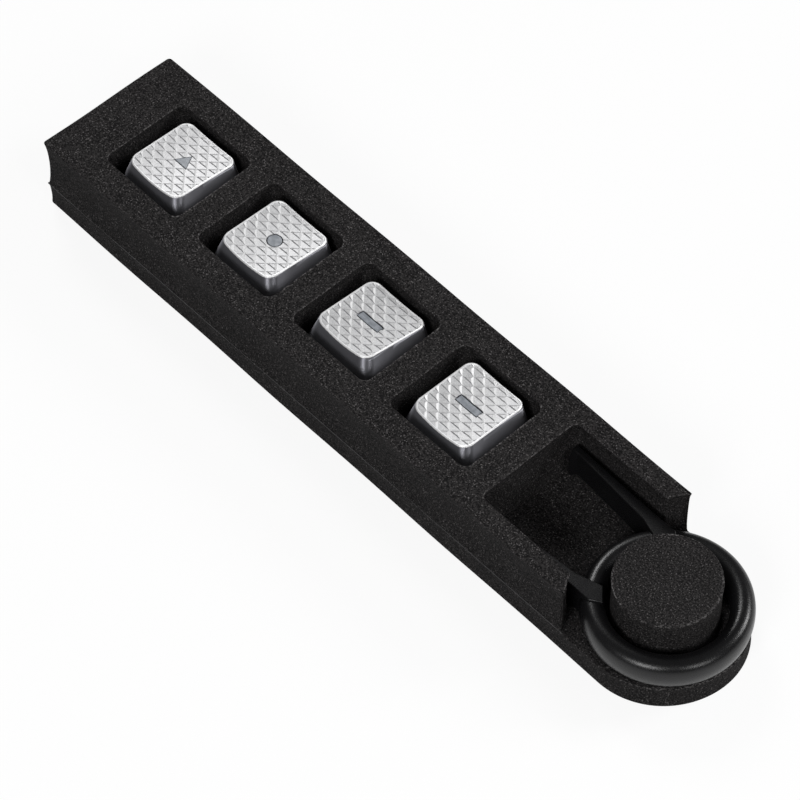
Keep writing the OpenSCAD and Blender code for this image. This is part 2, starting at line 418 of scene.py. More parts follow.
@dataclass(frozen=True)
class PullerFinish:
    """Black moulded plastic with a finely sparked gloss."""

    low: Colour = (0.0030, 0.0030, 0.0034, 1)
    high: Colour = (0.0065, 0.0064, 0.0070, 1)
    spark_size: float = 0.20 * MM
    cloud_size: float = 5.0 * MM
    roughness: float = 0.30
    spark_spread: float = 0.3
    cloud_spread: float = 0.08
    shine: float = 0.34
    bump_depth: float = 0.035 * MM
    bump_strength: float = 0.5

    def make(self) -> bpy.types.Material:
        """Builds the puller's material and returns it."""
        sheet = NodeSheet("puller_black")
        place = sheet.place()
        spark = sheet.noise(place, self.spark_size, detail=2.0, roughness=0.6)
        cloud = sheet.noise(place, self.cloud_size, detail=2.0)
        polish = spark.about(self.roughness, self.spark_spread) + cloud.about(0, self.cloud_spread)
        return sheet.done({
            "Base Color": sheet.tint(cloud, self.low, self.high),
            "Roughness": polish.limited(),
            "Specular IOR Level": self.shine,
            "Normal": sheet.bump(spark, self.bump_depth, self.bump_strength),
        })


@dataclass(frozen=True)
class FloorFinish:
    """Backdrop under the object: white where it is seen or mirrored, and a dim grey in what it lights."""

    low: Colour = (0.90, 0.90, 0.90, 1)
    high: Colour = (0.94, 0.94, 0.94, 1)
    dim: Colour = (0.20, 0.20, 0.20, 1)
    cloud_size: float = 0.4
    evened: float = 0.88

    def make(self) -> bpy.types.Material:
        """Builds the floor's material and returns it."""
        sheet = NodeSheet("white_backdrop")
        cloud = sheet.noise(sheet.place(), self.cloud_size, detail=1.0)
        paper = sheet.add("ShaderNodeBsdfDiffuse", inputs={"Color": sheet.tint(cloud, self.low, self.high)})
        white = sheet.add("ShaderNodeEmission", inputs={"Color": (1, 1, 1, 1), "Strength": 1.0})
        seen = sheet.add("ShaderNodeMixShader", inputs={0: self.evened, 1: paper, 2: white})
        grey = sheet.add("ShaderNodeBsdfDiffuse", inputs={"Color": self.dim})
        rays = [sheet.add("ShaderNodeLightPath", output=f"Is {ray} Ray")
                for ray in ("Camera", "Glossy", "Transmission")]
        looked_at = (rays[0] + rays[1] + rays[2]).limited()
        return sheet.close(sheet.add("ShaderNodeMixShader", inputs={0: looked_at, 1: grey, 2: seen}))


def every(item: Any) -> bool:
    """Picks everything."""
    return True


class Bench:
    """One piece on the modelling bench, shaped with Blender's own operators."""

    def __init__(self, piece: bpy.types.Object) -> None:
        """Takes up a mesh object."""
        self.piece = piece

    @staticmethod
    def clear() -> None:
        """Leaves edit mode and deselects everything."""
        if bpy.context.object is not None and bpy.context.object.mode != "OBJECT":
            bpy.ops.object.mode_set(mode="OBJECT")
        bpy.ops.object.select_all(action="DESELECT")

    @classmethod
    def named(cls, name: str) -> "Bench":
        """Takes up the primitive just added, with its place put into its mesh."""
        piece = bpy.context.object
        piece.name = name
        piece.data.name = name
        bpy.ops.object.transform_apply(location=True, rotation=True, scale=True)
        return cls(piece)

    @classmethod
    def block(cls, name: str, low: Vector, high: Vector) -> "Bench":
        """Starts a piece from a box between two corners."""
        cls.clear()
        bpy.ops.mesh.primitive_cube_add(size=1, location=(low + high) / 2, scale=high - low)
        return cls.named(name)

    @classmethod
    def drum(cls, name: str, middle: Vector, radius: float, height: float, sides: int,
             lean: float = 0.0) -> "Bench":
        """Starts a piece from a cylinder.

        Args:
            name: The piece's name.
            middle: The cylinder's middle.
            radius: Its radius.
            height: Its length along its axis.
            sides: How many flats go round it.
            lean: The turn about X, in radians, from an upright axis.

        Returns:
            The new piece.
        """
        cls.clear()
        bpy.ops.mesh.primitive_cylinder_add(
            vertices=sides, radius=radius, depth=height, location=middle, rotation=(lean, 0, 0))
        return cls.named(name)

    @classmethod
    def hoop(cls, name: str, points: int) -> "Bench":
        """Starts a piece from an unfilled circle of unit radius."""
        cls.clear()
        bpy.ops.mesh.primitive_circle_add(vertices=points, radius=1, fill_type="NOTHING")
        return cls.named(name)

    @classmethod
    def torus(cls, name: str, around: int, across: int) -> "Bench":
        """Starts a piece from a torus of unit radius, with so many points each way round."""
        cls.clear()
        bpy.ops.mesh.primitive_torus_add(
            major_segments=around, minor_segments=across, major_radius=1, minor_radius=0.25)
        return cls.named(name)

    @classmethod
    def grid(cls, name: str, middle: Vector, columns: int, rows: int, cell: Vector) -> "Bench":
        """Starts a piece from a flat grid of cells of one size."""
        cls.clear()
        bpy.ops.mesh.primitive_grid_add(x_subdivisions=columns, y_subdivisions=rows, size=1, location=middle)
        sheet = cls.named(name)
        sheet.scale(every, Vector((columns * cell.x, rows * cell.y, 1)), middle)
        return sheet

    def copy(self, name: str) -> "Bench":
        """Copies the piece with a mesh of its own."""
        piece = self.piece.copy()
        piece.data = self.piece.data.copy()
        piece.parent = None
        piece.name = name
        piece.data.name = name
        bpy.context.scene.collection.objects.link(piece)
        return Bench(piece)

    def discard(self) -> None:
        """Takes the piece out of the scene."""
        bpy.data.objects.remove(self.piece, do_unlink=True)

    def extent(self) -> Tuple[Vector, Vector]:
        """The lowest and highest corners of the mesh."""
        points = [point.co for point in self.piece.data.vertices]
        low = Vector([min(point[axis] for point in points) for axis in range(3)])
        high = Vector([max(point[axis] for point in points) for axis in range(3)])
        return low, high

    def activate(self) -> None:
        """Makes this the one selected piece."""
        self.clear()
        self.piece.select_set(True)
        bpy.context.view_layer.objects.active = self.piece

    @contextmanager
    def editing(self) -> Iterator[None]:
        """Holds the piece in edit mode."""
        self.activate()
        bpy.ops.object.mode_set(mode="EDIT")
        bpy.ops.mesh.select_all(action="DESELECT")
        yield
        bpy.ops.object.mode_set(mode="OBJECT")

    def pick(self, part: Part, rule: Rule) -> None:
        """Selects what a rule holds for, in edit mode.

        Args:
            part: Points, edges or faces.
            rule: A test of one of them.
        """
        bpy.ops.mesh.select_mode(type=part.value)
        bpy.ops.mesh.select_all(action="DESELECT")
        mesh = bmesh.from_edit_mesh(self.piece.data)
        mesh.normal_update()
        items = {Part.POINTS: mesh.verts, Part.EDGES: mesh.edges, Part.FACES: mesh.faces}[part]
        for item in [item for item in items if rule(item)]:
            item.select_set(True)
        bmesh.update_edit_mesh(self.piece.data)

    def bevel(self, rule: Rule, width: float, segments: int) -> None:
        """Rounds the edges that the rule picks."""
        with self.editing():
            self.pick(Part.EDGES, rule)
            bpy.ops.mesh.bevel(offset=width, segments=segments, affect="EDGES", clamp_overlap=True)

    def slice(self, places: Sequence[float], way: Vector) -> None:
        """Cuts a loop into the mesh at each place along an axis."""
        with self.editing():
            for place in places:
                bpy.ops.mesh.select_all(action="SELECT")
                bpy.ops.mesh.bisect(plane_co=way * place, plane_no=way, threshold=HAIR)

    def trim(self, point: Vector, normal: Vector) -> None:
        """Takes away what lies behind a plane and closes the cut."""
        with self.editing():
            bpy.ops.mesh.select_all(action="SELECT")
            bpy.ops.mesh.bisect(
                plane_co=point, plane_no=normal, threshold=HAIR, use_fill=True, clear_inner=True)

    def pull(self, rule: Rule, move: Vector) -> None:
        """Extrudes the faces that the rule picks."""
        with self.editing():
            self.pick(Part.FACES, rule)
            bpy.ops.mesh.extrude_region_move(TRANSFORM_OT_translate={"value": move})

    def shift(self, rule: Rule, move: Vector) -> None:
        """Moves the points that the rule picks."""
        with self.editing():
            self.pick(Part.POINTS, rule)
            bpy.ops.transform.translate(value=move)

    def scale(self, rule: Rule, factors: Vector, middle: Vector) -> None:
        """Scales the points that the rule picks about a middle."""
        with self.editing():
            self.pick(Part.POINTS, rule)
            bpy.ops.transform.resize(value=factors, center_override=middle)

    def inset(self, rule: Rule, width: float, depth: float = 0.0, each: bool = False) -> None:
        """Insets the faces that the rule picks, together or each by itself."""
        with self.editing():
            self.pick(Part.FACES, rule)
            bpy.ops.mesh.inset(thickness=width, depth=depth, use_individual=each)

    def merge(self) -> None:
        """Joins doubled points and turns every face outwards."""
        with self.editing():
            bpy.ops.mesh.select_all(action="SELECT")
            bpy.ops.mesh.remove_doubles(threshold=HAIR)
            bpy.ops.mesh.normals_make_consistent(inside=False)

    def combine(self, how: Combine, tool: "Bench") -> None:
        """Cuts the piece with a tool shape, or keeps what both share."""
        self.activate()
        modifier = self.piece.modifiers.new("combine", "BOOLEAN")
        modifier.operation = how.value
        modifier.solver = "EXACT"
        modifier.object = tool.piece
        bpy.ops.object.modifier_apply(modifier=modifier.name)

    def take_in(self, other: "Bench") -> None:
        """Makes another piece a part of this one."""
        self.activate()
        other.piece.select_set(True)
        bpy.ops.object.join()

    def thicken(self, wall: float) -> None:
        """Gives an open sheet a thickness below its faces."""
        self.activate()
        modifier = self.piece.modifiers.new("wall", "SOLIDIFY")
        modifier.thickness = wall
        modifier.offset = -1
        bpy.ops.object.modifier_apply(modifier=modifier.name)

    def sculpt(self, move: Callable[[Vector, Vector], Vector]) -> None:
        """Moves every point by a formula of its place and its normal."""
        mesh = self.piece.data
        places = [move(point.co.copy(), point.normal.copy()) for point in mesh.vertices]
        for point, place in zip(mesh.vertices, places):
            point.co = place
        mesh.update()

    def smooth(self, angle: float) -> None:
        """Shades the piece smooth up to an angle, with normals led by its large faces."""
        self.activate()
        bpy.ops.object.shade_smooth_by_angle(angle=math.radians(angle))
        modifier = self.piece.modifiers.new("normals", "WEIGHTED_NORMAL")
        modifier.keep_sharp = True
        bpy.ops.object.modifier_apply(modifier=modifier.name)

    def facet(self) -> None:
        """Splits every face into triangles and shades them flat."""
        with self.editing():
            bpy.ops.mesh.select_all(action="SELECT")
            bpy.ops.mesh.quads_convert_to_tris(ngon_method="BEAUTY")
        bpy.ops.object.shade_flat()

    def paint(self, name: str, values: Sequence[float], domain: str = "POINT") -> None:
        """Writes one value per point or per face into a named attribute."""
        layer = self.piece.data.attributes.new(name, "FLOAT", domain)
        layer.data.foreach_set("value", values)

    def dress(self, material: bpy.types.Material, slot: str) -> None:
        """Gives the piece its material."""
        self.piece.data.materials.clear()
        self.piece.data.materials.append(material)
        LOG.info("%s: %d faces", self.piece.name, len(self.piece.data.polygons))


def steps(start: float, stop: float, step: float) -> List[float]:
    """Even places strictly between two ends.

    Args:
        start: The lower end.
        stop: The higher end.
        step: About how far apart the places are.

    Returns:
        The places, lowest first.
    """
    count = max(1, round((stop - start) / step))
    return [start + (stop - start) * index / count for index in range(1, count)]


def is_upright(edge: bmesh.types.BMEdge) -> bool:
    """Tells whether an edge stands along Z."""
    run = edge.verts[1].co - edge.verts[0].co
    return abs(run.z) > SQUARE * run.length


@dataclass
class FoamTray:
    """The bonded foam: the base sheet, the tray sheet over it and the core inside the ring."""

    pocket_length: float = 19.3 * MM
    pocket_width: float = 18.6 * MM
    pocket_corner: float = 1.6 * MM
    tip_gap: float = 0.8 * MM
    bay_half: float = 11.12 * MM
    bay_corner: float = 1.2 * MM
    clearance: float = 24.8 * MM
    clearance_past: float = 11.1 * MM
    horn_inner: float = 0.8 * MM
    horn_tip: float = 1.0 * MM
    square_corner: float = 0.7 * MM
    rim: float = 0.22 * MM
    scuff_glint_band: float = 0.35 * MM
    strip: float = 3.1 * MM
    lip: float = 2.2 * MM
    sheet_draw: float = 0.66 * MM
    base_draw: float = 0.25 * MM
    core_draw: float = 0.25 * MM
    wander: float = 0.07 * MM
    wave_along: Tuple[float, float] = (4.1 * MM, 5.3 * MM)
    wave_across: Tuple[float, float] = (6.7 * MM, 4.7 * MM)
    wave_up: Tuple[float, float] = (5.9 * MM, 7.3 * MM)
    wave_phase: float = 0.9
    wave_up_share: float = 0.5
    foot_power: int = 4
    cut_levels: Tuple[float, ...] = (0.08, 0.2, 0.36, 0.52, 0.68, 0.8, 0.88, 0.94)
    scuff_glint_rise: Tuple[float, float] = (0.3, 0.97)
    scuff_glint_facing: float = 0.15
    scuff_glint_from: float = 2.0 * MM
    scuff_glint_away: float = 0.5
    round_sides: int = 144
    rim_segments: int = 3
    corner_segments: int = 4
    horn_segments: int = 5
    punch_segments: int = 6
    crease: float = 50.0

    def build(self, finish: bpy.types.Material) -> None:
        """Models the three foam pieces and dresses them.

        Args:
            finish: The foam's material.
        """
        makers = [
            (self.model_base, "base_foam", "foam_base_sheet", self.base_draw),
            (self.model_sheet, "tray_foam", "foam_tray_sheet", self.sheet_draw),
            (self.model_core, "core_foam", "foam_ring_core", self.core_draw),
        ]
        for maker, name, node, draw in makers:
            foam = maker(name, node)
            self.finish_cut(foam, draw)
            foam.dress(finish, "foam")
            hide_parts(node)
            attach(foam.piece, "tray")

    def model_base(self, name: str, node: str) -> Bench:
        """Models the base sheet from a half drum drawn out to the square end.

        Args:
            name: The piece's name.
            node: The solid that it stands for.

        Returns:
            The base sheet, with its edges still sharp.
        """
        low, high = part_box(node)
        end = Vector((high.x - high.y, 0, (low.z + high.z) / 2))
        base = Bench.drum(name, end, high.y, high.z - low.z, self.round_sides)
        base.trim(end, ALONG)
        base.pull(lambda face: face.normal.x < -SQUARE, ALONG * (low.x - end.x))
        base.bevel(lambda edge: is_upright(edge) and edge.verts[0].co.x < low.x + HAIR,
                   self.square_corner, self.corner_segments)
        base.merge()
        return base

    def model_sheet(self, name: str, node: str) -> Bench:
        """Models the tray sheet, cut through by the pockets, the bay and the ring's clearance.

        Args:
            name: The piece's name.
            node: The solid that it stands for.

        Returns:
            The tray sheet, with its rims still sharp.
        """
        low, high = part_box(node)
        base_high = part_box("foam_base_sheet")[1]
        end = Vector((base_high.x - base_high.y, 0, (low.z + high.z) / 2))
        sheet = Bench.block(name, low, Vector((end.x, high.y, high.z)))
        deep = 2 * (high.z - low.z)
        for number in range(1, 5):
            cap_low, cap_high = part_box(f"keycap_shell_{number}")
            middle = Vector(((cap_low.x + cap_high.x) / 2, (cap_low.y + cap_high.y) / 2, end.z))
            half = Vector((self.pocket_length, self.pocket_width, deep)) / 2
            self.punch(sheet, middle - half, middle + half, self.pocket_corner)
        bay_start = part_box("puller_arm_left")[0].x - self.tip_gap
        bay_low = Vector((bay_start, -self.bay_half, end.z - deep / 2))
        bay_high = Vector((end.x + self.clearance, self.bay_half, end.z + deep / 2))
        self.punch(sheet, bay_low, bay_high, self.bay_corner)
        past = end + ALONG * self.clearance_past
        swing = Bench.drum("clearance_tool", past, self.clearance, deep, 2 * self.round_sides)
        sheet.combine(Combine.CUT, swing)
        swing.discard()
        sheet.merge()
        self.round_horns(sheet, low, high, past)
        return sheet

    def punch(self, sheet: Bench, low: Vector, high: Vector, corner: float) -> None:
        """Cuts one round-cornered hole through the sheet.

        Args:
            sheet: The sheet that is cut.
            low: The lowest corner of the cutter.
            high: Its highest corner.
            corner: The radius of its upright corners.
        """
        cutter = Bench.block("punch_tool", low, high)
        cutter.bevel(is_upright, corner, self.punch_segments)
        sheet.combine(Combine.CUT, cutter)
        cutter.discard()

    def round_horns(self, sheet: Bench, low: Vector, high: Vector, past: Vector) -> None:
        """Rounds the sheet's upright corners at the square end and on both horns.

        Args:
            sheet: The tray sheet.
            low: The lowest corner of the solid it stands for.
            high: The highest corner of that solid.
            past: The middle of the arc that ends the horns.
        """
        near = 0.05 * MM
        horn_x = past.x - math.sqrt(self.clearance ** 2 - self.bay_half ** 2)

        def at(x: float, y: float) -> Rule:
            """A rule for the upright edges at one place on either side."""
            return lambda edge: (is_upright(edge) and abs(edge.verts[0].co.x - x) < near
                                 and abs(abs(edge.verts[0].co.y) - y) < near)

        sheet.bevel(at(low.x, high.y), self.square_corner, self.corner_segments)
        sheet.bevel(at(horn_x, self.bay_half), self.horn_inner, self.horn_segments)
        sheet.bevel(at(high.x, high.y), self.horn_tip, self.corner_segments)

    def model_core(self, name: str, node: str) -> Bench:
        """Models the core as a plain drum.

        Args:
            name: The piece's name.
            node: The solid that it stands for.

        Returns:
            The core, with its rims still sharp.
        """
        low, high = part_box(node)
        return Bench.drum(name, (low + high) / 2, (high.x - low.x) / 2, high.z - low.z, self.round_sides)

    def finish_cut(self, foam: Bench, draw: float) -> None:
        """Gives cut foam its soft rims, drawn-in sides and small unevenness, and marks its upper rims for
        scuffs and a painted highlight.

        Args:
            foam: The piece, with sharp rims.
            draw: How far its sides are drawn in at mid height.
        """
        low, high = foam.extent()
        tall = high.z - low.z
        foam.bevel(self.is_rim, self.rim, self.rim_segments)
        # A narrow band along the top rims carries the mask for scuffs and the painted highlight.
        foam.inset(lambda face: face.normal.z > SQUARE, self.scuff_glint_band)
        foam.slice([low.z + tall * share for share in self.cut_levels], UP)
        foam.slice(steps(low.x, high.x, self.strip), ALONG)
        foam.slice(steps(low.y, high.y, self.strip), ACROSS)
        middle = (low + high) / 2

        def settle(place: Vector, normal: Vector) -> Vector:
            """Draws a side in under its upper rim and lets the cut wander a little."""
            below = max(0.0, high.z - place.z)
            share = (1 - math.exp(-below / self.lip)) * (1 - (below / tall) ** self.foot_power)
            flat = Vector((normal.x, normal.y, 0)) * draw * share
            rise = math.sin(place.x / self.wave_up[0] + place.y / self.wave_up[1])
            wave = Vector((
                math.sin(place.y / self.wave_along[0] + place.z / self.wave_along[1]),
                math.sin(place.x / self.wave_across[0] + place.z / self.wave_across[1] + self.wave_phase),
                self.wave_up_share * rise * (place.z > middle.z),
            )) * self.wander
            return place - flat + wave

        foam.sculpt(settle)
        foam.smooth(self.crease)
        # Paints the rim mask: scuffs plus a painted highlight on rims facing −X, half as much on rims facing
        # +X.
        foam.paint("scuff_glint_mask", self.find_scuff_glint_mask(foam, low.x, middle.z))

    @staticmethod
    def is_rim(edge: bmesh.types.BMEdge) -> bool:
        """Tells whether an edge lies between a level face and an upright one."""
        if len(edge.link_faces) != 2:
            return False
        rises = sorted(abs(face.normal.z) for face in edge.link_faces)
        return rises[0] < 1 - SQUARE and rises[1] > SQUARE

    def find_scuff_glint_mask(self, foam: Bench, start: float, half_height: float) -> List[float]:
        """Finds the points on the rounding of the upper rims that look along the tray, which are lightened as
        scuffs and as a painted highlight.

        Args:
            foam: The finished piece.
            start: Where the piece starts along X.
            half_height: The level above which a rim is worn.

        Returns:
            For each point, 1 on a rim that looks to the square end, where scuffs and the painted highlight
            are strongest, less on one that looks away from it, and 0 elsewhere.
        """
        mesh = foam.piece.data
        scuff_glint_mask = [0.0] * len(mesh.vertices)
        for face in mesh.polygons:
            rounded = self.scuff_glint_rise[0] < face.normal.z < self.scuff_glint_rise[1] and face.center.z > half_height
            if rounded and abs(face.normal.x) > self.scuff_glint_facing and face.center.x > start + self.scuff_glint_from:
                for index in face.vertices:
                    scuff_glint_mask[index] = 1.0 if face.normal.x < 0 else self.scuff_glint_away
        return scuff_glint_mask


@dataclass
class KeycapSet:
    """Four keycaps: a sloping skirt, a relief top plate, a window and a stem each."""

    foot: float = 18.0 * MM
    waist: float = 17.4 * MM
    waist_height: float = 4.0 * MM
    top_length: float = 13.4 * MM
    top_width: float = 14.3 * MM
    top_height: float = 10.9 * MM
    top_shift: float = 0.8 * MM
    over_height: float = 12.6 * MM
    corner: float = 2.5 * MM
    waist_round: float = 1.3 * MM
    front_bulge: float = 0.42 * MM
    wall: float = 1.2 * MM
    roof: float = 7.2 * MM
    dish: float = 0.45 * MM
    seat: float = 0.17 * MM
    sheet: float = 0.06 * MM
    rim_width: float = 0.32 * MM
    rim_over: float = 0.05 * MM
    rim_lip: float = 0.05 * MM
    rim_lip_drop: float = 0.6
    rim_flat: float = 0.4
    rim_back: float = 1.4
    rim_points: int = 240
    rim_rounds: int = 5
    mark_gap: float = 0.22 * MM
    hole_over: float = 2.0 * MM
    relief_pitch: float = 2.78 * MM
    relief_row: float = 1.364 * MM
    relief_columns: int = 8
    relief_rows: int = 14
    relief_slope: float = 0.30 * MM
    relief_rise: float = 0.17 * MM
    relief_lean: float = 0.15 * MM
    relief_start: Tuple[float, float] = (0.2 * MM, -0.6 * MM)
    raised_over: float = 0.04 * MM
    painted_foot_shade_y: float = -0.4
    painted_highlight_x: float = 0.15
    painted_highlight_y: float = 0.1
    shown_z: float = 0.3
    rank: float = 1.3 * MM
    band: float = 0.9 * MM
    foot_round: float = 0.15 * MM
    hollow_below: float = 2.0 * MM
    hollow_round: float = 0.4 * MM
    corner_segments: int = 10
    waist_segments: int = 5
    foot_segments: int = 2
    hollow_segments: int = 5
    roof_segments: int = 3
    dish_sides: int = 256
    crease: float = 38.0
    tips: Tuple[float, ...] = (3.6, 3.6, 7.6, 1.0)

    @property
    def dish_radius(self) -> float:
        """The radius of the hollow across the tops, from its depth."""
        half = self.top_length / 2
        return (half ** 2 + self.dish ** 2) / (2 * self.dish)

    def slope(self, height: float) -> Tuple[Vector, float]:
        """Gives the outside at a height above the waist.

        Args:
            height: The height over the pocket floor.

        Returns:
            Its length and width as a vector, and its shift along Y.
        """
        share = (height - self.waist_height) / (self.top_height - self.waist_height)
        start = Vector((self.waist, self.waist))
        return start.lerp(Vector((self.top_length, self.top_width)), share), self.top_shift * share

    def build(self, skirt: bpy.types.Material, silver: bpy.types.Material) -> None:
        """Models the shared shapes once, then makes the four skirts and tops from copies.

        Args:
            skirt: The skirts' material.
            silver: The tops' material.
        """
        outside = self.model_outside()
        hollow = self.model_hollow()
        relief = self.model_relief()
        for number, tip in enumerate(self.tips, start=1):
            low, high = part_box(f"keycap_shell_{number}")
            place = Vector(((low.x + high.x) / 2, (low.y + high.y) / 2, low.z))
            hole = self.model_hole(number)
            shell = self.cut_shell(number, math.radians(tip), place, outside, hollow, hole)
            shell.dress(skirt, "keycap_skirt")
            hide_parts(f"keycap_shell_{number}")
            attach(shell.piece, f"keycap_{number}")
            top = self.cut_top(number, math.radians(tip), place, outside, relief, hole)
            top.dress(silver, "keycap_top")
            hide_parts(f"keycap_plate_{number}")
            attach(top.piece, f"keycap_{number}")
            hole.discard()
        for pattern in (outside, hollow, relief):
            pattern.discard()

    def model_outside(self) -> Bench:
        """Models the outside of a cap, carried on above its top.

        Returns:
            The outside, on the origin.
        """
        half = self.foot / 2
        body = Bench.block("cap_outside", Vector((-half, -half, 0)), Vector((half, half, self.waist_height)))
        body.bevel(is_upright, self.corner, self.corner_segments)
        ranks = steps(-half + self.corner, half - self.corner, self.rank)
        body.slice(ranks, ALONG)
        body.slice(ranks, ACROSS)
        over_size, over_shift = self.slope(self.over_height)
        waist_top = UP * self.waist_height
        body.scale(lambda point: point.co.z > HAIR,
                   Vector((self.waist / self.foot, self.waist / self.foot, 1)), waist_top)
        rise = Vector((0, over_shift, self.over_height - self.waist_height))
        body.pull(lambda face: face.normal.z > SQUARE, rise)
        over = Vector((over_size.x / self.waist, over_size.y / self.waist, 1))
        body.scale(lambda point: point.co.z > self.waist_height + HAIR, over, waist_top + rise)
        front = over_shift - over_size.y / 2

        def bulge(place: Vector, normal: Vector) -> Vector:
            """Bows the front of the top outwards between its corners."""
            if place.z > self.waist_height + HAIR and place.y < front + self.corner:
                reach = 1 - (place.x / (over_size.x / 2)) ** 2
                place.y -= self.front_bulge * max(0.0, reach)
            return place

        def at(level: float) -> Rule:
            """A rule for the edges round the body at one level."""
            return lambda edge: (all(abs(point.co.z - level) < HAIR for point in edge.verts)
                                 and any(abs(face.normal.z) < NEARLY for face in edge.link_faces))

        body.sculpt(bulge)
        body.bevel(at(self.waist_height), self.waist_round, self.waist_segments)
        body.slice(steps(self.waist_height + self.waist_round, self.over_height, self.band), UP)
        body.bevel(at(0.0), self.foot_round, self.foot_segments)
        body.merge()
        return body

    def model_hollow(self) -> Bench:
        """Models the space inside a skirt.

        Returns:
            The space, on the origin.
        """
        half = self.foot / 2 - self.wall
        low = Vector((-half, -half, -self.hollow_below))
        space = Bench.block("cap_hollow", low, Vector((half, half, self.roof)))
        space.bevel(is_upright, self.corner - self.wall, self.hollow_segments)
        size, shift = self.slope(self.roof)
        factors = Vector((size.x - 2 * self.wall, size.y - 2 * self.wall)) / (2 * half)
        space.scale(lambda point: point.co.z > 0, Vector((factors.x, factors.y, 1)), Vector((0, 0, 0)))
        space.shift(lambda point: point.co.z > 0, ACROSS * shift)
        space.bevel(lambda edge: all(point.co.z > 0 for point in edge.verts),
                    self.hollow_round, self.roof_segments)
        return space

    def model_relief(self) -> Bench:
        """Models the flat sheet of raised triangles that the tops are cut from.

        Returns:
            The sheet, with its raised faces near z = 0.
        """
        cell = Vector((self.relief_pitch, self.relief_row))
        across, along = self.relief_start
        middle = Vector((across, along, 0))
        sheet = Bench.grid("cap_relief", middle, self.relief_columns, self.relief_rows, cell)
        first = along - self.relief_rows * self.relief_row / 2
        half_pitch = ALONG * (self.relief_pitch / 2)
        sheet.shift(lambda point: round((point.co.y - first) / self.relief_row) % 2 == 1, half_pitch)
        with sheet.editing():
            bpy.ops.mesh.select_all(action="SELECT")
            bpy.ops.mesh.quads_convert_to_tris(quad_method="SHORTEST_DIAGONAL")

        def stands(face: bmesh.types.BMFace) -> bool:
            """Tells whether a triangle stands on its foot, with its point towards +Y."""
            heights = sorted(point.co.y for point in face.verts)
            return heights[1] - heights[0] < self.relief_row / 2

        sheet.inset(stands, self.relief_slope, self.relief_rise, each=True)
        raised = self.relief_rise / 2
        sheet.shift(lambda point: point.co.z > raised, ACROSS * -self.relief_lean)
        sheet.shift(every, UP * (self.raised_over - self.relief_rise))
        sheet.thicken(self.sheet)
        sheet.merge()
        return sheet

    def model_hole(self, number: int) -> Bench:
        """Models the hole for a cap's window from the window's own solid.

        Args:
            number: The cap's number.

        Returns:
            The hole's shape, in place, open above the top.
        """
        node = f"keycap_window_{number}"
        low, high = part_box(node)
        middle = (low + high) / 2
        hole = Bench(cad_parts[node]).copy(f"hole_tool_{number}")
        hole.merge()
        grow = Vector((1 + 2 * self.mark_gap / (high.x - low.x), 1 + 2 * self.mark_gap / (high.y - low.y), 1))
        hole.scale(every, grow, middle)
        hole.shift(lambda point: point.co.z > middle.z, UP * self.hole_over)
        return hole

    def cut_shell(self, number: int, tip: float, place: Vector, outside: Bench, hollow: Bench,
                  hole: Bench) -> Bench:
        """Cuts one skirt from the shared shapes.

        Args:
            number: The cap's number.
            tip: How far its front edge tips up, in radians.
            place: Its middle on the pocket floor.
            outside: The outside to copy.
            hollow: The space inside to copy.
            hole: The hole for its window, in place.

        Returns:
            The skirt.
        """
        shell = outside.copy(f"keycap_{number}_skirt")
        shell.shift(every, place)
        seat = self.dish_radius - self.seat
        lift = Vector((0, seat * math.sin(tip), seat * math.cos(tip)))
        middle = place + Vector((0, self.top_shift, self.top_height - self.dish)) + lift
        scoop = Bench.drum("scoop_tool", middle, self.dish_radius, 3 * self.foot, self.dish_sides,
                           math.pi / 2 - tip)
        space = hollow.copy("hollow_tool")
        space.shift(every, place)
        for tool in (scoop, space, hole):
            shell.combine(Combine.CUT, tool)
        scoop.discard()
        space.discard()
        shell.merge()
        shell.smooth(self.crease)
        return shell

    def cut_top(self, number: int, tip: float, place: Vector, outside: Bench, relief: Bench,
                hole: Bench) -> Bench:
        """Cuts one top plate from the relief sheet.

        Args:
            number: The cap's number.
            tip: How far its front edge tips up, in radians.
            place: Its middle on the pocket floor.
            outside: The outside whose plan it takes.
            relief: The relief sheet to copy.
            hole: The hole for its window, in place.

        Returns:
            The top plate.
        """
        top = relief.copy(f"keycap_{number}_top")
        lean = Matrix.Rotation(-tip, 3, "X")
        seat = place + Vector((0, self.top_shift, self.top_height - self.dish))
        radius = self.dish_radius

        def bend(point: Vector, normal: Vector) -> Vector:
            """Bends the sheet to the dish and tips it."""
            sag = radius - math.sqrt(radius ** 2 - point.x ** 2)
            return seat + lean @ (point + UP * sag)

        top.sculpt(bend)
        plan = outside.copy("plan_tool")
        shrink = Vector((1 - self.rim_width / self.top_length, 1 - self.rim_width / self.top_width, 1))
        plan.scale(every, shrink, ACROSS * self.top_shift)
        plan.shift(every, place)
        top.combine(Combine.COMMON, plan)
        top.combine(Combine.CUT, hole)
        plan.discard()
        top.merge()
        top.facet()
        # Relief faces looking towards −Y get painted shade; faces looking towards +X and +Y get a painted
        # highlight.
        ways = [face.normal for face in top.piece.data.polygons]
        painted_shade_faces = [way.y < self.painted_foot_shade_y and way.z > self.shown_z for way in ways]
        painted_highlight_faces = [way.x > self.painted_highlight_x and way.y > self.painted_highlight_y and way.z > self.shown_z for way in ways]
        top.paint("painted_foot_shade", [float(face) for face in painted_shade_faces], "FACE")
        top.paint("painted_highlight", [float(face) for face in painted_highlight_faces], "FACE")
        rim = self.model_rim(tip, place)
        rim.facet()
        # The whole border gets the painted highlight.
        rim.paint("painted_highlight", [1.0] * len(rim.piece.data.polygons), "FACE")
        top.take_in(rim)
        return top

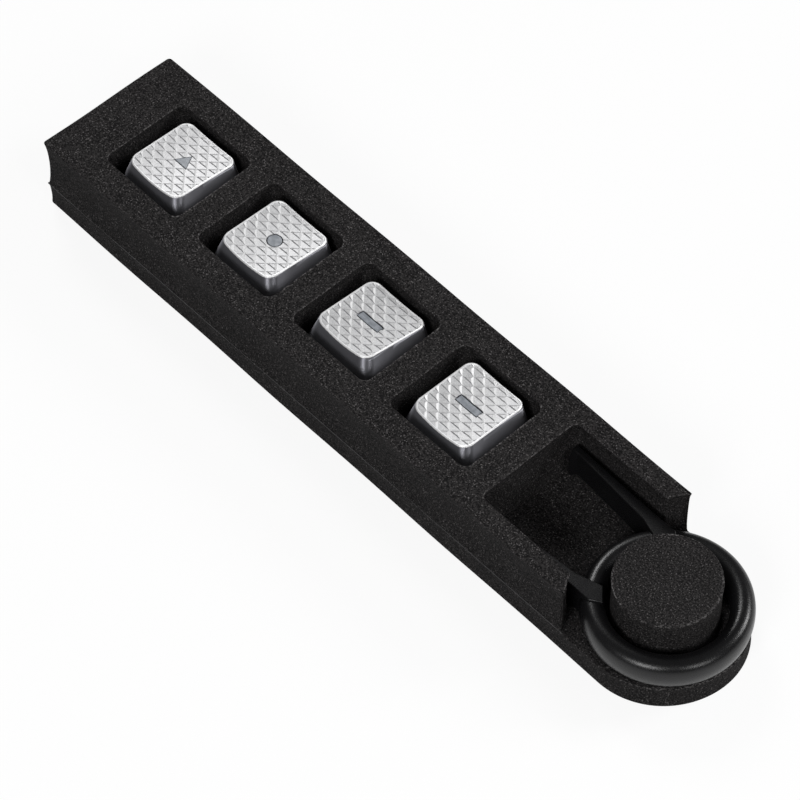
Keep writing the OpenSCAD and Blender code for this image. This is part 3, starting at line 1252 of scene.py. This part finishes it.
    def outline(self, angle: float, height: float) -> Tuple[Vector, Vector]:
        """Finds where a cap's outside is at a height, and which way it faces.

        Args:
            angle: The way from the cap's middle, in radians.
            height: The height over the pocket floor.

        Returns:
            The point, and the level way out of the cap there.
        """
        half = self.foot / 2
        straight = half - self.corner
        way = Vector((math.cos(angle), math.sin(angle), 0))
        reach = half / max(abs(way.x), abs(way.y))
        if min(abs(way.x), abs(way.y)) * reach > straight:
            lead = straight * (abs(way.x) + abs(way.y))
            reach = lead + math.sqrt(lead ** 2 - 2 * straight ** 2 + self.corner ** 2)
        foot = way * reach
        out = foot - Vector([max(-straight, min(straight, value)) for value in foot])
        size, shift = self.slope(self.over_height)
        low = foot * (self.waist / self.foot)
        high = Vector((foot.x * size.x / self.foot, foot.y * size.y / self.foot + shift, 0))
        if high.y < shift - size.y / 2 + self.corner:
            high.y -= self.front_bulge * max(0.0, 1 - (2 * high.x / size.x) ** 2)
        share = (height - self.waist_height) / (self.over_height - self.waist_height)
        return low.lerp(high, share) + UP * height, out.normalized()

    def crown(self, point: Vector, over: float, tip: float) -> float:
        """Gives the height of a dished and tipped top.

        Args:
            point: The place on the cap, from its middle.
            over: How far over the dish to look.
            tip: How far the cap's front edge tips up, in radians.

        Returns:
            The height over the pocket floor.
        """
        radius = self.dish_radius
        rise = radius - math.sqrt(radius ** 2 - point.x ** 2) + over
        along = (point.y - self.top_shift - rise * math.sin(tip)) / math.cos(tip)
        return self.top_height - self.dish - along * math.sin(tip) + rise * math.cos(tip)

    def model_rim(self, tip: float, place: Vector) -> Bench:
        """Models the smooth border of a top, flush with the skirt under it.

        Args:
            tip: How far the cap's front edge tips up, in radians.
            place: The cap's middle on the pocket floor.

        Returns:
            The border, as a closed ring.
        """
        flat = self.rim_flat * self.rim_width
        back = self.rim_back * self.rim_width
        under = -self.seat - self.sheet
        section = (
            (0.0, self.rim_over - self.rim_width / 2),
            (self.rim_lip, -self.rim_lip_drop * self.rim_over),
            (flat, self.rim_over),
            (2 * flat, self.rim_over),
            (back, -self.seat),
            (back, under),
            (flat, under),
            (HAIR, under),
        )
        rim = Bench.torus("cap_rim", self.rim_points, len(section))

        def carry(point: Vector, normal: Vector) -> Vector:
            """Carries a point of the torus to its place on the border."""
            turn = math.atan2(point.z, math.hypot(point.x, point.y) - 1) / (2 * math.pi)
            inwards, over = section[round(turn * len(section)) % len(section)]
            angle = math.atan2(point.y, point.x)
            height = self.top_height
            for _ in range(self.rim_rounds):
                spot, out = self.outline(angle, height)
                height = self.crown(spot, over, tip)
            spot -= out * inwards
            spot.z = self.crown(spot, over, tip)
            return place + spot

        rim.sculpt(carry)
        return rim


@dataclass
class Puller:
    """The ring-handled puller: a ring of oval section and two flexing blades with hooks."""

    ring_radius: float = 12.5 * MM
    section: float = 4.3 * MM
    ring_height: float = 6.1 * MM
    nose: float = 2.05 * MM
    section_points: int = 72
    ring_steps: int = 176
    root_back: float = 13.8 * MM
    flat_in: float = 6.4 * MM
    flat_out: float = 8.8 * MM
    flat_back: float = 8.4 * MM
    flat_past: float = 1.6 * MM
    tip_inner: float = 9.55 * MM
    tip_thickness: float = 1.1 * MM
    root_inner: float = 7.95 * MM
    root_thickness: float = 2.2 * MM
    hook_length: float = 1.6 * MM
    hook_reach: float = 1.0 * MM
    hook_height: float = 3.7 * MM
    edge: float = 0.2 * MM
    edge_segments: int = 3
    edge_from: float = 15.0
    arm_step: float = 0.8 * MM
    ring_crease: float = 30.0
    arm_crease: float = 35.0
    bend_before: float = 1.2 * MM
    bend_after: float = 3.0 * MM

    def build(self, finish: bpy.types.Material) -> None:
        """Models the ring and both arms and dresses them.

        Args:
            finish: The puller's material.
        """
        low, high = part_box("puller_ring")
        ring_x = high.x - self.ring_radius - self.section / 2
        ring = self.model_ring(ring_x, low.z, low.z + self.ring_height)
        ring.smooth(self.ring_crease)
        ring.dress(finish, "puller_plastic")
        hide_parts("puller_ring")
        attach(ring.piece, "puller")
        pattern = self.model_arm(ring_x)
        for side in Side:
            self.place_arm(pattern, side, finish)
        pattern.discard()

    def model_ring(self, ring_x: float, low_z: float, high_z: float) -> Bench:
        """Models the ring by spinning its oval section.

        Args:
            ring_x: Where its middle is along X.
            low_z: Its lowest level.
            high_z: Its highest level.

        Returns:
            The ring.
        """
        half_width = self.section / 2
        half_height = (high_z - low_z) / 2
        nose_rise = half_height - self.nose
        reach = half_width - self.nose
        flank = (nose_rise ** 2 + half_width ** 2 - self.nose ** 2) / (2 * reach)
        turn = math.atan2(nose_rise, flank - half_width)
        middle_z = (low_z + high_z) / 2

        def oval(place: Vector, normal: Vector) -> Vector:
            """Puts a point of the circle on the four arcs of the section."""
            angle = math.atan2(place.y, place.x)
            across, up = math.cos(angle), math.sin(angle)
            if math.atan2(abs(up), abs(across)) < turn:
                centre = math.copysign(flank - half_width, -across)
                x, z = centre + flank * across, flank * up
            else:
                x, z = self.nose * across, math.copysign(nose_rise, up) + self.nose * up
            return Vector((ring_x + self.ring_radius + x, 0, middle_z + z))

        ring = Bench.hoop("puller_handle", self.section_points)
        ring.sculpt(oval)
        with ring.editing():
            bpy.ops.mesh.select_all(action="SELECT")
            bpy.ops.mesh.spin(
                steps=self.ring_steps, angle=2 * math.pi, center=(ring_x, 0, middle_z), axis=(0, 0, 1))
        ring.merge()
        return ring

    def flare(self, piece: Bench, ring_x: float) -> None:
        """Draws the end of a root out over the ring, with its inner side flaring to the midline.

        Args:
            piece: The piece, whose end face looks along +X at the root.
            ring_x: Where the ring's middle is along X.
        """
        middle = self.root_inner + self.root_thickness / 2
        near = self.ring_radius - self.flat_past
        corners = [Vector((ring_x - math.sqrt(near ** 2 - y ** 2), y, 0))
                   for y in (self.flat_in, self.flat_out)]
        start = Vector((ring_x - self.root_back, self.root_inner, 0))
        for corner, end in zip(corners, (corners[0].x, ring_x - self.flat_back)):
            piece.pull(lambda face: face.normal.x > NEARLY, ALONG * (end - start.x))
            move = Vector((corner.x - end, corner.y - start.y, 0))
            piece.shift(lambda point: point.co.x > end - HAIR and point.co.y < middle, move)
            start = Vector((end, corner.y, 0))

    def model_arm(self, ring_x: float) -> Bench:
        """Models the arm on the side of +Y, from its hook to inside the ring.

        Args:
            ring_x: Where the ring's middle is along X.

        Returns:
            The arm.
        """
        low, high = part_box("puller_arm_right")
        root = ring_x - self.root_back
        tip_outer = self.tip_inner + self.tip_thickness
        root_outer = self.root_inner + self.root_thickness
        arm = Bench.block("arm_pattern", Vector((low.x, self.tip_inner, low.z)),
                          Vector((root, tip_outer, high.z)))
        half = (low.x + root) / 2
        split = (self.tip_inner + tip_outer) / 2
        arm.shift(lambda point: point.co.x > half and point.co.y < split,
                  ACROSS * (self.root_inner - self.tip_inner))
        arm.shift(lambda point: point.co.x > half and point.co.y > split, ACROSS * (root_outer - tip_outer))
        self.flare(arm, ring_x)
        hook_end = low.x + self.hook_length
        arm.slice([hook_end], ALONG)
        arm.pull(lambda face: face.normal.y < -NEARLY and face.calc_center_median().x < hook_end,
                 ACROSS * -self.hook_reach)
        inside = self.tip_inner - self.hook_reach / 2

        def on_hook(point: bmesh.types.BMVert) -> bool:
            """Tells whether a point is on the hook's inner face."""
            return point.co.y < inside and point.co.x < hook_end + HAIR

        arm.shift(lambda point: on_hook(point) and point.co.x > low.x + self.hook_length / 2,
                  ALONG * (-self.hook_length / 2))
        arm.shift(lambda point: on_hook(point) and point.co.z > (low.z + high.z) / 2,
                  UP * (self.hook_height - (high.z - low.z)))
        arm.merge()
        sharp = math.radians(self.edge_from)
        arm.bevel(lambda edge: edge.calc_face_angle(0.0) > sharp, self.edge, self.edge_segments)
        arm.slice(steps(hook_end, ring_x - self.flat_back, self.arm_step), ALONG)
        return arm

    def place_arm(self, pattern: Bench, side: Side, finish: bpy.types.Material) -> None:
        """Copies the arm to one side, smooths its shading and dresses it.

        Args:
            pattern: The arm to copy.
            side: Which side it goes to.
            finish: The puller's material.
        """
        word = side.name.lower()
        arm = pattern.copy(f"puller_{word}_blade")
        arm.scale(every, Vector((1, side.value, 1)), Vector((0, 0, 0)))
        arm.merge()
        arm.smooth(self.arm_crease)
        arm.dress(finish, "puller_plastic")
        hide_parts(f"puller_arm_{word}")
        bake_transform(arm.piece)


@dataclass(frozen=True)
class SoftBox:
    """One studio light that faces the tray."""

    name: str
    azimuth: float
    elevation: float
    watts: float
    size: float = 0.30
    distance: float = 0.9

    def make(self, target: Vector) -> None:
        """Hangs the light and turns it to the target."""
        lamp = bpy.data.lights.new(self.name, "AREA")
        lamp.shape = "DISK"
        lamp.size = self.size
        lamp.energy = self.watts
        light = bpy.data.objects.new(self.name, lamp)
        around = math.radians(self.azimuth)
        up = math.radians(self.elevation)
        way = Vector((math.cos(up) * math.cos(around), math.cos(up) * math.sin(around), math.sin(up)))
        light.location = target + way * self.distance
        light.rotation_euler = way.to_track_quat("Z", "Y").to_euler()
        bpy.context.scene.collection.objects.link(light)


@dataclass
class Studio:
    """Floor, light and camera."""

    floor_radius: float = 4.0
    floor_sides: int = 96
    floor_gap: float = 0.02 * MM
    ambient: float = 0.14
    target: Vector = Vector((0, 0, 0.008))
    camera_place: Vector = Vector((298.04, -268.59, 535.97)) * MM
    camera_look: Vector = Vector((-0.44729, 0.40167, -0.79912))
    camera_right: Vector = Vector((0.67782, 0.73516, -0.00987))
    camera_lens: float = 172.15
    sensor: float = 36.0
    lights: Tuple[SoftBox, ...] = (
        SoftBox("key_back_right", azimuth=62, elevation=30, watts=3.7),
        SoftBox("back_left", azimuth=156, elevation=42, watts=2.8),
        SoftBox("front_left", azimuth=-66, elevation=36, watts=4.2, size=0.34),
        SoftBox("right", azimuth=-6, elevation=33, watts=1.6),
    )

    def build(self) -> None:
        """Sets up the floor, the lights, the world and the camera."""
        scene = bpy.context.scene
        scene.view_settings.view_transform = "Standard"
        self.lay_floor()
        for light in self.lights:
            light.make(self.target)
        self.set_world(scene)
        self.set_camera(scene)

    def lay_floor(self) -> None:
        """Lays a wide pale floor under the tray."""
        Bench.clear()
        bpy.ops.mesh.primitive_circle_add(
            vertices=self.floor_sides, radius=self.floor_radius, fill_type="NGON",
            location=(0, 0, CAD_BOX[0][2] - self.floor_gap))
        floor = Bench.named("studio_floor")
        floor.piece.data.materials.append(FloorFinish().make())

    def set_world(self, scene: bpy.types.Scene) -> None:
        """Fills the room with an even grey light."""
        world = bpy.data.worlds.new("studio_room")
        world.use_nodes = True
        world.node_tree.nodes["Background"].inputs["Color"].default_value = (1, 1, 1, 1)
        world.node_tree.nodes["Background"].inputs["Strength"].default_value = self.ambient
        scene.world = world

    def set_camera(self, scene: bpy.types.Scene) -> None:
        """Puts the camera where the photograph was taken from."""
        data = bpy.data.cameras.new("photo_camera")
        data.lens = self.camera_lens
        data.sensor_width = self.sensor
        back = -self.camera_look.normalized()
        right = (self.camera_right - back * self.camera_right.dot(back)).normalized()
        up = back.cross(right)
        camera = bpy.data.objects.new("photo_camera", data)
        turn = Matrix((right, up, back)).transposed().to_4x4()
        camera.matrix_world = Matrix.Translation(self.camera_place) @ turn
        scene.collection.objects.link(camera)
        scene.camera = camera


def dress_nodes(finishes: Dict[str, bpy.types.Material]) -> None:
    """Gives the solids that stay in view their materials.

    Args:
        finishes: The material for each start of a node's name.
    """
    for name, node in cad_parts.items():
        for start, material in finishes.items():
            if name.startswith(start):
                node.data.materials.clear()
                node.data.materials.append(material)
                LOG.info("%s: %s", name, material.name)


def main() -> None:
    """Builds and dresses every piece, then the studio around them."""
    logging.basicConfig(level=logging.INFO, format="%(message)s")
    puller_black = PullerFinish().make()
    film = FilmFinish().make()
    dress_nodes({
        "keycap_window": WindowFinish().make(),
        "keycap_stem": StemFinish().make(),
        "tray_bond": film,
        "core_bond": film,
    })
    FoamTray().build(FoamFinish().make())
    KeycapSet().build(SkirtFinish().make(), SilverFinish().make())
    Puller().build(puller_black)
    Studio().build()


if __name__ == "__main__":
    main()
